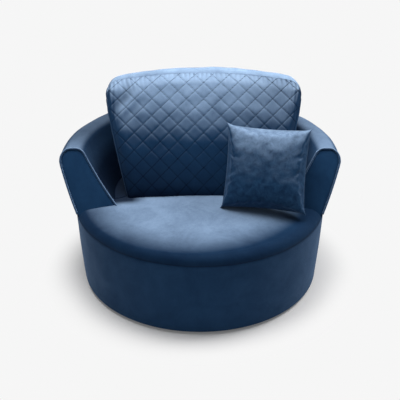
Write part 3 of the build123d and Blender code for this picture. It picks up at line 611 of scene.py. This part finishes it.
def make_seat():
    """Domed seat with a full rim; where the shell stands, it ends inside the shell."""
    turns = np.linspace(0.0, 2 * pi, 320, endpoint=False)
    dome = [(radius, seat_top(radius)) for radius in np.linspace(0.0, rim_start, 54, endpoint=False)]
    tuck = [(558.5, 357.5), (552.0, seat_underside), (0.0, seat_underside)]
    rim_shares = np.linspace(0.0, 1.0, 36)
    rows = len(dome) + len(rim_shares) + len(tuck)
    wall_radii = np.linspace(0.0, inner_foot[0] + 24.0, rows - 2)
    wall_line = [(radius, seat_top(radius)) for radius in wall_radii]
    wall_line += [(inner_foot[0] + 18.0, seat_underside), (0.0, seat_underside)]
    points = np.zeros((rows, len(turns), 3))
    depth = np.zeros(points.shape[:2])
    for column, turn in enumerate(turns):
        line = np.array(wall_line)
        if -cos(turn) * outer_foot[0] <= seat_open_y:
            share = ramp(degrees(acos(cos(turn))), 76.0, 36.0)
            fullness = share * share * (3.0 - 2.0 * share)
            rim = (rim_curve(spot, fullness) for spot in rim_shares)
            line = np.array([*dome, *rim, *tuck])
            # Painted shade: dark in the seam under the rim, and the rim painted darker towards its
            # edge.
            depth[:, column] = np.exp(-np.abs(line[:, 1] - 359.0) / 2.5) * (line[:, 0] > 500.0)
            depth[:, column] += 0.75 * ramp(line[:, 0], 400.0, 520.0)
        points[:, column, 0] = line[:, 0] * sin(turn)
        points[:, column, 1] = -line[:, 0] * cos(turn)
        points[:, column, 2] = line[:, 1]
    spread = np.linalg.norm(points[..., :2], axis=-1)
    flat = points * np.array([1.0, 1.0, 0.2])
    dents = 2.8 * ripple(flat, 190.0, 1.7) + 1.0 * ripple(flat, 70.0, 5.2) - 0.8
    points[..., 2] += dents * ramp(spread, 556.0, 496.0) * (points[..., 2] > 375.0)
    points[0, :] = points[0].mean(0)
    piece = mesh_piece("seat_pad", points, grid_faces(*points.shape[:2], False, True))
    # Painted shadow in the nooks between the shell, the back cushion and the seat.
    nook_shadow = ramp(points[..., 1], -142.0, -106.0) * ramp(np.abs(points[..., 0]), 235.0, 300.0)
    store(piece, "seam_and_painted_shade", np.clip(depth * 0.6 + nook_shadow * 0.95, 0.0, 0.97))
    # Painted shade: the seat's painted highlight fades from a middle a little left of centre towards
    # the rim.
    from_highlight_middle = np.hypot(points[..., 0] + 40.0, points[..., 1])
    store(piece, "painted_highlight_fade", ramp(from_highlight_middle, 335.0, 525.0) ** 1.7)
    return piece


dress(make_seat(), seat_velvet, "velvet", "chair", 0.75, "seat_cover", "seat_foam")


# Shell: one wrap-round wall with a padded top and a seam below its outer roll


def shell_points(line, columns):
    """Grid over the shell, each row a line of the section swept from arm front to arm front."""
    points = np.empty((len(line), columns, 3))
    for row, (radius, height) in enumerate(line):
        half = acos(front_y(height) / radius)
        turns = np.linspace(-half, half, columns)
        points[row, :, 0] = radius * np.sin(turns)
        points[row, :, 1] = radius * np.cos(turns)
        points[row, :, 2] = height
    return points


def make_shell():
    """Padded wall: inside, top roll and outside in one skin, with the outer seam drawn in."""
    columns = 260
    line = shell_line(7.0)
    points = shell_points(line, columns)
    normals = along_normals(points)
    ends = np.minimum(np.arange(columns), np.arange(columns)[::-1])[None, :]
    over_top = int(np.argmax(line[:, 1]))
    inside = np.zeros((len(line), 1))
    inside[over_top:] = 1.0
    height = points[..., 2].copy()
    stretch = points * np.array([1.0, 1.0, 0.6])
    lift = 2.4 * ripple(stretch, 170.0, 2.3) + 0.9 * ripple(stretch, 60.0, 6.1)
    lift += inside * 3.0 * np.sin(pi * ramp(height, 380.0, 610.0))
    seam_at = outer_roll[1] - roll_radius * cos(outer_angle)
    on_seam = (1.0 - inside) * np.exp(-(((height - seam_at) / 3.2) ** 2))
    lift -= 2.6 * on_seam
    lift *= ramp(ends, 0.0, 6.0) * ramp(height, 362.0, 376.0)
    if np.mean(normals[over_top, columns // 2]) < 0.0:
        normals = -normals
    points += normals * lift[..., None]
    height = points[..., 2]
    piece = mesh_piece("shell_wall", points, grid_faces(len(line), columns, True, False))
    # Painted shade: dark in the outer seam and at the foot, on the inner wall (darker lower down), and
    # on the back left of the top.
    foot = np.exp(-np.abs(height - seam_height) / 3.0)
    inner_wall_shade = inside * ramp(height, 608.0, 503.0) * 0.92
    brushed_and_shaded = 0.55 * ramp(points[..., 1], -60.0, 180.0) * ramp(points[..., 0], 0.0, -300.0)
    brushed_and_shaded *= ramp(height, 560.0, 600.0)
    store(piece, "seam_and_painted_shade", np.clip(on_seam * 0.8 + foot * 0.7 + inner_wall_shade + brushed_and_shaded, 0.0, 0.95))
    return piece


dress(
    make_shell(), navy_velvet, "velvet", "chair", 0.7,
    "shell_inner_cover", "shell_outer_cover", "shell_foam",
)


def arm_front_line(side, inset, ahead):
    """Edge of an arm front, from the outer foot over the top to the inner foot."""
    line = shell_line(6.0)
    halfway = len(line) // 2
    middle = np.array([480.0, 500.0])
    tangents = np.gradient(line, axis=0)
    inward = np.stack([-tangents[:, 1], tangents[:, 0]], -1)
    inward /= np.linalg.norm(inward, axis=1, keepdims=True)
    if np.sum(inward[halfway] * (middle - line[halfway])) < 0:
        inward = -inward
    points = np.empty((len(line), 3))
    for spot, (radius, height) in enumerate(line + inward * inset):
        depth = front_y(height)
        points[spot] = (side * sqrt(radius**2 - depth**2), depth, height)
    return points + front_normal * ahead


def make_facing(name, side):
    """Padded panel on an arm front, fullest in its middle."""
    edge = arm_front_line(side, 3.0, -1.5)
    foot = np.linspace(edge[-1], edge[0], 24)[1:-1]
    edge = np.concatenate([edge, foot])
    middle = edge.mean(0)
    shares = np.concatenate([np.linspace(1.0, 0.9, 5), np.linspace(0.86, 0.0, 14)])
    points = np.empty((len(shares), len(edge), 3))
    depth = np.zeros(points.shape[:2])
    for row, share in enumerate(shares):
        puff = 7.0 * (1.0 - share**4) ** 0.6
        points[row] = middle + (edge - middle) * share + front_normal * puff
        depth[row] = np.exp(-(1.0 - share) / 0.02)
    dents = 1.1 * ripple(points, 80.0, 4.4) * ramp(shares, 1.0, 0.8)[:, None]
    points += front_normal * dents[..., None]
    piece = mesh_piece(name, points, grid_faces(*points.shape[:2], False, True))
    # Painted shade along the facing's sewn edge by the piping.
    store(piece, "seam_and_painted_shade", depth * 0.8)
    return piece


def make_piping(name, side):
    """Cord covered in velvet along the edge of an arm front."""
    path = arm_front_line(side, 1.5, 3.6)
    path = path[path[:, 2] > 369.0]
    tangents = np.gradient(path, axis=0)
    tangents /= np.linalg.norm(tangents, axis=1, keepdims=True)
    across = np.cross(tangents, front_normal)
    across /= np.linalg.norm(across, axis=1, keepdims=True)
    rounds = np.linspace(0.0, 2 * pi, 12, endpoint=False)
    swell = 4.6 + 0.25 * np.sin(np.arange(len(path)) * 1.9)
    ring = across[:, None, :] * np.cos(rounds)[:, None] + front_normal * np.sin(rounds)[:, None]
    faces = grid_faces(len(path), len(rounds), False, True)
    faces.append(tuple(range(len(rounds)))[::-1])
    faces.append(tuple((len(path) - 1) * len(rounds) + spot for spot in range(len(rounds))))
    return mesh_piece(name, path[:, None, :] + swell[:, None, None] * ring, faces)


for hand, side in (("left", -1.0), ("right", 1.0)):
    facing = make_facing(f"arm_front_{hand}", side)
    dress(facing, navy_velvet, "velvet", "chair", 0.6, f"arm_facing_{hand}")
    cord = make_piping(f"arm_cord_{hand}", side)
    dress(cord, piping_velvet, "piping", "chair", None, f"arm_piping_{hand}")


# Back cushion: a quilted front and a filled case, in a leaning frame

back_foot = np.array([16.0, -97.0, 400.0])
back_lean = radians(31.26)
lean_sin, lean_cos = sin(back_lean), cos(back_lean)
sideways = np.array([1.0, 0.0, 0.0])
lean_up = np.array([0.0, lean_sin, lean_cos])
lean_out = np.array([0.0, -lean_cos, lean_sin])
panel_height = 585.0
panel_arch = 48.0
foot_half = 331.0
top_half = 449.0
corner_radius = 68.0
flare = (top_half - foot_half) / (panel_height - panel_arch)
crown = 50.0
front_bow = ((panel_height / 2) ** 2 + crown**2) / (2 * crown)
arch_bow = (top_half**2 + panel_arch**2) / (2 * panel_arch)
arch_centre = panel_height - arch_bow
quilt_pitch = 54.0
quilt_foot_y = 88.0


def corner_centre():
    """Middle of a round top corner, as across and up."""
    stretch = hypot(1.0, flare)
    foot = foot_half - corner_radius * stretch
    a = stretch**2
    b = 2 * (foot * flare - arch_centre)
    c = foot**2 + arch_centre**2 - (arch_bow - corner_radius) ** 2
    up = (sqrt(b**2 - 4 * a * c) - b) / (2 * a)
    return foot + flare * up, up


round_across, round_up = corner_centre()


def on_panel(across, up):
    """Whether a spot lies under the arched top and inside the round corner."""
    if hypot(across, up - arch_centre) > arch_bow:
        return False
    aside, above = across - round_across, up - round_up
    past_side = above + flare * aside > 0.0
    past_arch = aside * (round_up - arch_centre) - above * round_across > 0.0
    return not (past_side and past_arch and hypot(aside, above) > corner_radius)


def panel_top(share):
    """Height up the lean where a flared line meets the arched top with its round corners."""
    low, high = 0.0, panel_height + 20.0
    for _ in range(40):
        middle = (low + high) / 2
        if on_panel(abs(share) * (foot_half + flare * middle), middle):
            low = middle
        else:
            high = middle
    return low


def front_plan(columns, rows):
    """Grid over the quilted front as across and up, and each point's distance from the edge."""
    shares = np.sin(np.linspace(-1.0, 1.0, columns) * 1.35) / sin(1.35)
    ups = np.linspace(0.0, 1.0, rows)
    across = np.empty((rows, columns))
    up = np.empty((rows, columns))
    edge = np.empty((rows, columns))
    for column, share in enumerate(shares):
        top = panel_top(share)
        foot_height = seat_top(hypot(back_foot[0] + share * foot_half, quilt_foot_y))
        foot = (foot_height - back_foot[2]) / lean_cos - 2.0
        rise = foot + (top - foot) * ups
        half = foot_half + flare * rise
        up[:, column] = rise
        across[:, column] = share * half
        side_room = (1.0 - abs(share)) * half / hypot(1.0, flare)
        edge[:, column] = np.minimum(np.minimum(top - rise, side_room), rise - foot + 12.0)
    return across, up, np.maximum(edge, 0.0)


def front_out(up):
    """How far the crowned front stands out of its leaning plane."""
    rise = np.sqrt(np.maximum(front_bow**2 - (up - panel_height / 2) ** 2, 0.0))
    return rise - (front_bow - crown)


def in_back_frame(across, up, out):
    """Points of the leaning frame in the chair's frame."""
    level = back_foot + across[..., None] * sideways
    return level + up[..., None] * lean_up + out[..., None] * lean_out


def make_back_front():
    """Quilted front: puffed diamonds between sewn diagonals, puckered where it meets the border."""
    across, up, edge = front_plan(250, 150)
    climb = up / panel_height
    first = (across + up) / sqrt(2.0) / quilt_pitch
    second = (across - up) / sqrt(2.0) / quilt_pitch
    near_first = np.abs((first + 0.5) % 1.0 - 0.5) * quilt_pitch
    near_second = np.abs((second + 0.5) % 1.0 - 0.5) * quilt_pitch
    puff = (1.0 - np.exp(-near_first / 3.0)) * (1.0 - np.exp(-near_second / 3.0))
    inner = ramp(edge, 3.0, 19.0)
    off_seam = ramp(edge, 0.0, 6.0)
    out = front_out(up) - 17.0 * ramp(edge, 58.0, 0.0) ** 2.3
    out += 6.0 * np.sin(pi * np.clip(climb, 0.0, 1.0)) * inner
    out += (puff - 0.6) * inner
    base = in_back_frame(across, up, out)
    out += 4.0 * ripple(base, 190.0, 2.9) * inner + 1.4 * ripple(base, 60.0, 7.3) * inner
    waver = ripple(base, 90.0, 1.3)
    gather = np.sin(across / 21.0 * 2 * pi + 4.0 * waver) * np.exp(-edge / 24.0) * off_seam
    gather *= np.clip(climb * 2.2 - 1.0, 0.0, 1.0) * (0.55 + 0.9 * ripple(base, 150.0, 6.6))
    out += 3.3 * gather
    from_corner = ((across + 370.0) / 70.0) ** 2 + ((up - 470.0) / 95.0) ** 2
    drag = np.sin((across * 0.9 - up * 0.55) / 15.0 + 2.0 * waver) * np.exp(-from_corner)
    out += 2.6 * drag * inner
    piece = mesh_piece("back_quilt", in_back_frame(across, up, out), grid_faces(*across.shape))
    # Painted shade: in the stitch lines, at the border seam and the foot, towards the upper right and
    # the lower left, and in the troughs of the puckers and drag creases.
    shade = 0.7 * np.exp(-((np.minimum(near_first, near_second) / 1.3) ** 2)) * off_seam
    shade += 0.5 * np.exp(-edge / 2.0)
    shade += 0.8 * np.exp(-np.maximum(up - up.min(), 0.0) / 60.0)
    shade += 0.36 * ramp(across, 20.0, 350.0) * np.clip(1.6 * climb - 0.3, 0.0, 1.0)
    shade += 0.34 * ramp(across, 60.0, -190.0) * np.clip(1.5 - 2.0 * climb, 0.0, 1.0)
    shade += 0.45 * np.clip(-gather, 0.0, 1.0) + 0.30 * np.clip(-drag, 0.0, 1.0)
    store(piece, "seam_and_painted_shade", np.clip(shade, 0.0, 0.97))
    return piece


def soft_and(softness, *fields):
    """Field of the room that several fields share, with its edges rounded."""
    joined = fields[0]
    for field in fields[1:]:
        mix = np.clip(0.5 + 0.5 * (joined - field) / softness, 0.0, 1.0)
        joined = field + (joined - field) * mix + softness * mix * (1.0 - mix)
    return joined


def beyond_line(y, z, start, end):
    """How far a point lies to the right of a line in the side view."""
    run = np.subtract(end, start)
    return ((y - start[0]) * run[1] - (z - start[1]) * run[0]) / hypot(*run)


# Corners of the case's side view as y and z, its rounded plan, the zip and the front's seam
case_foot = (365.0, 400.0)
case_hip = (469.6, 579.0)
case_shoulder = (390.4, 848.8)
case_top = (214.9, 913.7)
plan_centre = -42.3
plan_bow = 458.8
crest_fall = tan(radians(27.0))
zip_y = 200.0
zip_channel_top = seat_top(zip_y) + 10.4
seam_shares = np.linspace(0.0, 1.0, 90)
seam_ups = np.array([panel_top(share) for share in seam_shares])
seam_across = seam_shares * (foot_half + flare * seam_ups)
seam_line = np.array([(foot_half, 0.0), *zip(seam_across[::-1], seam_ups[::-1] * lean_cos)])
seam_runs = np.diff(seam_line, axis=0)
seam_runs /= np.linalg.norm(seam_runs, axis=1, keepdims=True)
seam_normals = np.stack([seam_runs[:, 1], -seam_runs[:, 0]], -1)
seam_reach = np.sum(seam_normals * seam_line[:-1], axis=1)


def case_field(points):
    """Below zero inside the filled case, above it outside."""
    x = points[:, 0] - back_foot[0]
    y = points[:, 1]
    z = points[:, 2]
    off_middle = np.abs(x)
    rise = z - back_foot[2]
    up = (y - back_foot[1]) * lean_sin + rise * lean_cos
    behind = (y - back_foot[1]) * lean_cos - rise * lean_sin
    lower = beyond_line(y, z, case_foot, case_hip)
    rear = beyond_line(y, z, case_hip, case_shoulder) - 7.0
    crest = beyond_line(y, z, case_shoulder, case_top) - 17.0
    profile = soft_and(26.0, lower, rear, crest, z - case_top[1] - 14.0)
    from_seam = off_middle[:, None] * seam_normals[:, 0] + rise[:, None] * seam_normals[:, 1]
    outline = np.max(from_seam - seam_reach, axis=1)
    front = -behind - front_out(up) + 17.0 - 19.0 * ramp(outline, -2.0, 16.0)
    outline -= 6.0 + 20.0 * ramp(rise, 370.0, 480.0) * ramp(off_middle, 440.0, 350.0)
    seam_up = np.interp(off_middle, seam_across, seam_ups)
    crest_line = back_foot[2] + seam_up * lean_cos + 22.0 + 14.0 * (1.0 - (x / top_half) ** 2)
    past_seam = y - back_foot[1] - seam_up * lean_sin
    behind_seam = (z - crest_line + past_seam * crest_fall) / hypot(1.0, crest_fall)
    plan = np.hypot(x, behind - plan_centre) - plan_bow
    radius = np.hypot(points[:, 0], y)
    walls = np.array([inner_wall(height) for height in z])
    shell_room = (radius - walls + 3.0) * 0.85
    underside = np.array([seat_top(min(spot, 540.0)) for spot in radius]) + 0.6
    channel = ramp(np.abs(y - zip_y), 30.0, 16.0) * ramp(off_middle, 290.0, 262.0)
    seat_room = underside + (zip_channel_top - underside) * channel - z
    sides = soft_and(26.0, profile, outline)
    body = soft_and(30.0, sides, soft_and(20.0, plan, front), behind_seam)
    return np.maximum(np.maximum(body, shell_room), seat_room)


def make_back_case():
    """Filled case: a border that swells from the front's seam, and a rounded back."""
    rounds, steps = 240, 110
    middle = np.array([back_foot[0], 190.0, 640.0])
    turns = np.linspace(0.0, 2 * pi, rounds, endpoint=False)[:, None]
    tips = np.linspace(0.0, pi, steps)[:, None, None]
    heading = np.cos(tips) * lean_out
    heading = heading + np.sin(tips) * (np.cos(turns) * sideways + np.sin(turns) * lean_up)
    rays = heading.reshape(-1, 3)
    near = np.zeros(len(rays))
    far = np.full(len(rays), 900.0)
    for _ in range(26):
        half = (near + far) / 2
        inside = case_field(middle + rays * half[:, None]) < 0.0
        near = np.where(inside, half, near)
        far = np.where(inside, far, half)
    points = (middle + rays * near[:, None]).reshape(steps, rounds, 3)
    free = ramp(points[..., 2], 610.0, 670.0)
    folds = 2.2 * ripple(points * np.array([1.0, 0.4, 1.0]), 46.0, 9.4)
    folds += 3.5 * ripple(points, 140.0, 4.8)
    points += heading * (np.minimum(folds, 3.0) * free)[..., None]
    points[0] = points[0].mean(0)
    points[-1] = points[-1].mean(0)
    piece = mesh_piece("back_case", points, grid_faces(steps, rounds, False, True))
    store(piece, "seam_and_painted_shade", np.zeros(steps * rounds))
    return piece


dress(make_back_front(), quilt_velvet, "velvet", "back_cushion", 0.6, "back_cushion_front")
dress(make_back_case(), quilt_velvet, "velvet", "back_cushion", 0.7, "back_cushion_case")


# Scatter cushion

scatter_middle = np.array([286.0, -131.0, 586.0])
scatter_turn = radians(-10.0)
scatter_lean = radians(28.0)
scatter_across = np.array([cos(scatter_turn), sin(scatter_turn), 0.0])
scatter_level = np.array([sin(scatter_turn), -cos(scatter_turn), 0.0])
scatter_out = scatter_level * cos(scatter_lean) + np.array([0.0, 0.0, sin(scatter_lean)])
scatter_up = np.cross(scatter_out, scatter_across)


def point_places(mesh):
    """Points of a mesh in metres."""
    found = np.empty(len(mesh.vertices) * 3)
    mesh.vertices.foreach_get("co", found)
    return found.reshape(-1, 3)


def stuff(piece, pressure, slack, cap, last_frame=20):
    """Swell a sewn cover with Blender's cloth, no point further than the cap in millimetres."""
    start = point_places(piece.data)
    cloth = piece.modifiers.new("stuffing", "CLOTH")
    cloth.settings.quality = 6
    cloth.settings.mass = 0.25
    cloth.settings.tension_stiffness = 20.0
    cloth.settings.compression_stiffness = 8.0
    cloth.settings.shear_stiffness = 6.0
    cloth.settings.bending_stiffness = 0.25
    cloth.settings.shrink_min = -slack
    cloth.settings.use_pressure = True
    cloth.settings.uniform_pressure_force = pressure
    cloth.settings.effector_weights.gravity = 0.0
    cloth.point_cache.frame_start = 1
    cloth.point_cache.frame_end = last_frame
    for frame_number in range(1, last_frame + 1):
        scene.frame_set(frame_number)
    swollen = piece.evaluated_get(bpy.context.evaluated_depsgraph_get())
    move = point_places(swollen.data) - start
    length = np.maximum(np.linalg.norm(move, axis=1, keepdims=True), 1e-9)
    move *= np.minimum(1.0, cap * MM / length)
    piece.modifiers.remove(cloth)
    scene.frame_set(1)
    piece.data.vertices.foreach_set("co", (start + move).ravel())
    piece.data.update()


def make_scatter():
    """Square feather cushion: drawn-in sides, pointed corners and a seam all round."""
    count = 76
    half = 192.0
    draw_in = 9.0
    steps = np.sin(np.linspace(-1.0, 1.0, count) * 1.2) / sin(1.2)
    u, v = np.meshgrid(steps, steps)
    across = u * (half - draw_in * (1.0 - v**2) * np.abs(u) ** 1.5)
    up = v * (half - draw_in * (1.0 - u**2) * np.abs(v) ** 1.5)
    full = ((1.0 - np.abs(u) ** 2.4) * (1.0 - np.abs(v) ** 2.4)) ** 0.55
    edge = np.minimum(1.0 - np.abs(u), 1.0 - np.abs(v)) * half
    flat_place = scatter_middle + across[..., None] * scatter_across + up[..., None] * scatter_up
    sheets = []
    for face, fullness in ((1.0, 66.0), (-1.0, 52.0)):
        out = face * (2.0 + fullness * full)
        flat = np.stack([across, up, out], -1)
        crease = 3.0 * ripple(flat, 95.0, 5.5 + face) + 1.4 * ripple(flat, 34.0, 2.2 + face)
        tug = np.sin(np.arctan2(v, u) * 30.0 + 2.5 * ripple(flat, 70.0, 1.1))
        tug *= np.exp(-edge / 22.0) * 2.6
        out = out + face * (crease + tug) * ramp(edge, 0.0, 14.0)
        sheets.append(flat_place + out[..., None] * scatter_out)
    sheet_size = count * count
    border = [*range(count), *(row * count + count - 1 for row in range(1, count))]
    border += range(sheet_size - 2, sheet_size - count - 1, -1)
    border += [row * count for row in range(count - 2, 0, -1)]
    faces = grid_faces(count, count)
    faces += [face[::-1] for face in grid_faces(count, count, start=sheet_size)]
    for spot, after in zip(border, border[1:] + border[:1]):
        faces.append((after, spot, spot + sheet_size, after + sheet_size))
    piece = mesh_piece("scatter_pillow", np.stack(sheets), faces)
    # Painted shade along the seam all round.
    depth = np.exp(-edge.ravel() / 2.5)
    store(piece, "seam_and_painted_shade", np.concatenate([depth, depth]) * 0.5)
    stuff(piece, pressure=4.0, slack=0.03, cap=12.0)
    return piece


dress(make_scatter(), scatter_velvet, "velvet", "scatter", 0.7, "scatter_cushion")


# Normals all point outward
bpy.ops.object.select_all(action="DESELECT")
for piece in list(scene.objects):
    if piece.type == "MESH" and "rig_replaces" in piece.keys():
        bpy.context.view_layer.objects.active = piece
        piece.select_set(True)
        bpy.ops.object.mode_set(mode="EDIT")
        bpy.ops.mesh.select_all(action="SELECT")
        bpy.ops.mesh.remove_doubles(threshold=0.00002)
        bpy.ops.mesh.normals_make_consistent(inside=False)
        bpy.ops.object.mode_set(mode="OBJECT")
        piece.select_set(False)


# Studio: pale floor, soft light and the photograph's camera

pale_ground = (0.922, 0.922, 0.922, 1.0)


def mix_shaders(tree, amount, first, second, output):
    """Mix of two shaders by a value, sent to the output."""
    blend = tree.nodes.new("ShaderNodeMixShader")
    tree.links.new(amount, blend.inputs[0])
    tree.links.new(first, blend.inputs[1])
    tree.links.new(second, blend.inputs[2])
    tree.links.new(blend.outputs[0], tree.nodes[output].inputs["Surface"])


def make_floor():
    """Pale floor that keeps the shadow near the chair and is an even pale ground further out."""
    rings = np.array([0.0, 1500.0, 9000.0])
    turns = np.linspace(0.0, 2 * pi, 48, endpoint=False)
    points = np.zeros((len(rings), len(turns), 3))
    points[..., 0] = np.outer(rings, np.cos(turns))
    points[..., 1] = np.outer(rings, np.sin(turns))
    floor = mesh_piece("studio_floor", points, grid_faces(len(rings), len(turns), False, True))
    made, tree, shader = bare_material("pale_floor")
    place = object_place(tree)
    speck = noise_node(tree, (0, 0), place, 40.0, 3.0)
    speckled = mix_colours(tree, speck, (0.84, 0.84, 0.84), (0.86, 0.86, 0.86))
    tree.links.new(speckled, shader["Base Color"])
    shader["Roughness"].default_value = 0.9
    shader["Specular IOR Level"].default_value = 0.0
    reach = wire(tree, "ShaderNodeVectorMath", (0, 300), Vector=place)
    reach.operation = "LENGTH"
    distance = reach.outputs["Value"]
    far_out = range_node(tree, (200, 300), distance, True, From_Min=0.52, From_Max=0.74, To_Min=0.10)
    ground = wire(tree, "ShaderNodeEmission", (300, -200), Color=pale_ground, Strength=1.0)
    amount = math_node(tree, "MULTIPLY", seen_rays(tree), far_out)
    lit = tree.nodes["Principled BSDF"].outputs[0]
    mix_shaders(tree, amount, lit, ground.outputs[0], "Material Output")
    floor.data.materials.append(made)


def soft_lamp(name, place, aim, size, power, colour):
    """Large square lamp that faces a point."""
    lamp = bpy.data.lights.new(name, "AREA")
    lamp.shape = "SQUARE"
    lamp.size = size
    lamp.energy = power
    lamp.color = colour
    made = bpy.data.objects.new(name, lamp)
    made.location = place
    made.rotation_mode = "QUATERNION"
    made.rotation_quaternion = (Vector(aim) - Vector(place)).to_track_quat("-Z", "Y")
    scene.collection.objects.link(made)


make_floor()
soft_lamp("top_lamp", (-0.45, -0.1, 3.2), (0.0, 0.1, 0.4), 1.8, 94.0, (1.0, 0.99, 0.98))
soft_lamp("right_lamp", (2.0, 0.4, 2.5), (0.3, 0.0, 0.5), 1.3, 56.0, (1.0, 0.99, 0.98))
soft_lamp("front_lamp", (-0.4, -3.8, 1.0), (0.0, 0.0, 0.2), 2.0, 15.0, (0.98, 0.99, 1.0))

world = bpy.data.worlds.new("studio")
scene.world = world
world.use_nodes = True
sky = world.node_tree.nodes["Background"]
sky.inputs["Color"].default_value = (0.95, 0.97, 1.0, 1.0)
sky.inputs["Strength"].default_value = 0.14
backdrop = wire(world.node_tree, "ShaderNodeBackground", (0, -200), Color=pale_ground, Strength=1.0)
mix_shaders(
    world.node_tree, seen_rays(world.node_tree), sky.outputs[0], backdrop.outputs[0], "World Output"
)

picture_size = 400.0
focal_pixels = 993.95
middle_row = 192.3
camera = bpy.data.cameras.new("photo_camera")
camera.sensor_width = 36.0
camera.lens = focal_pixels * camera.sensor_width / picture_size
camera.shift_y = -(picture_size / 2 - middle_row) / picture_size
viewer = bpy.data.objects.new("photo_camera", camera)
viewer.location = (0.0, -3.958, 2.541)
viewer.rotation_euler = (radians(90.0 - 28.413), 0.0, 0.0)
scene.collection.objects.link(viewer)
scene.camera = viewer

scene.view_settings.view_transform = "Standard"
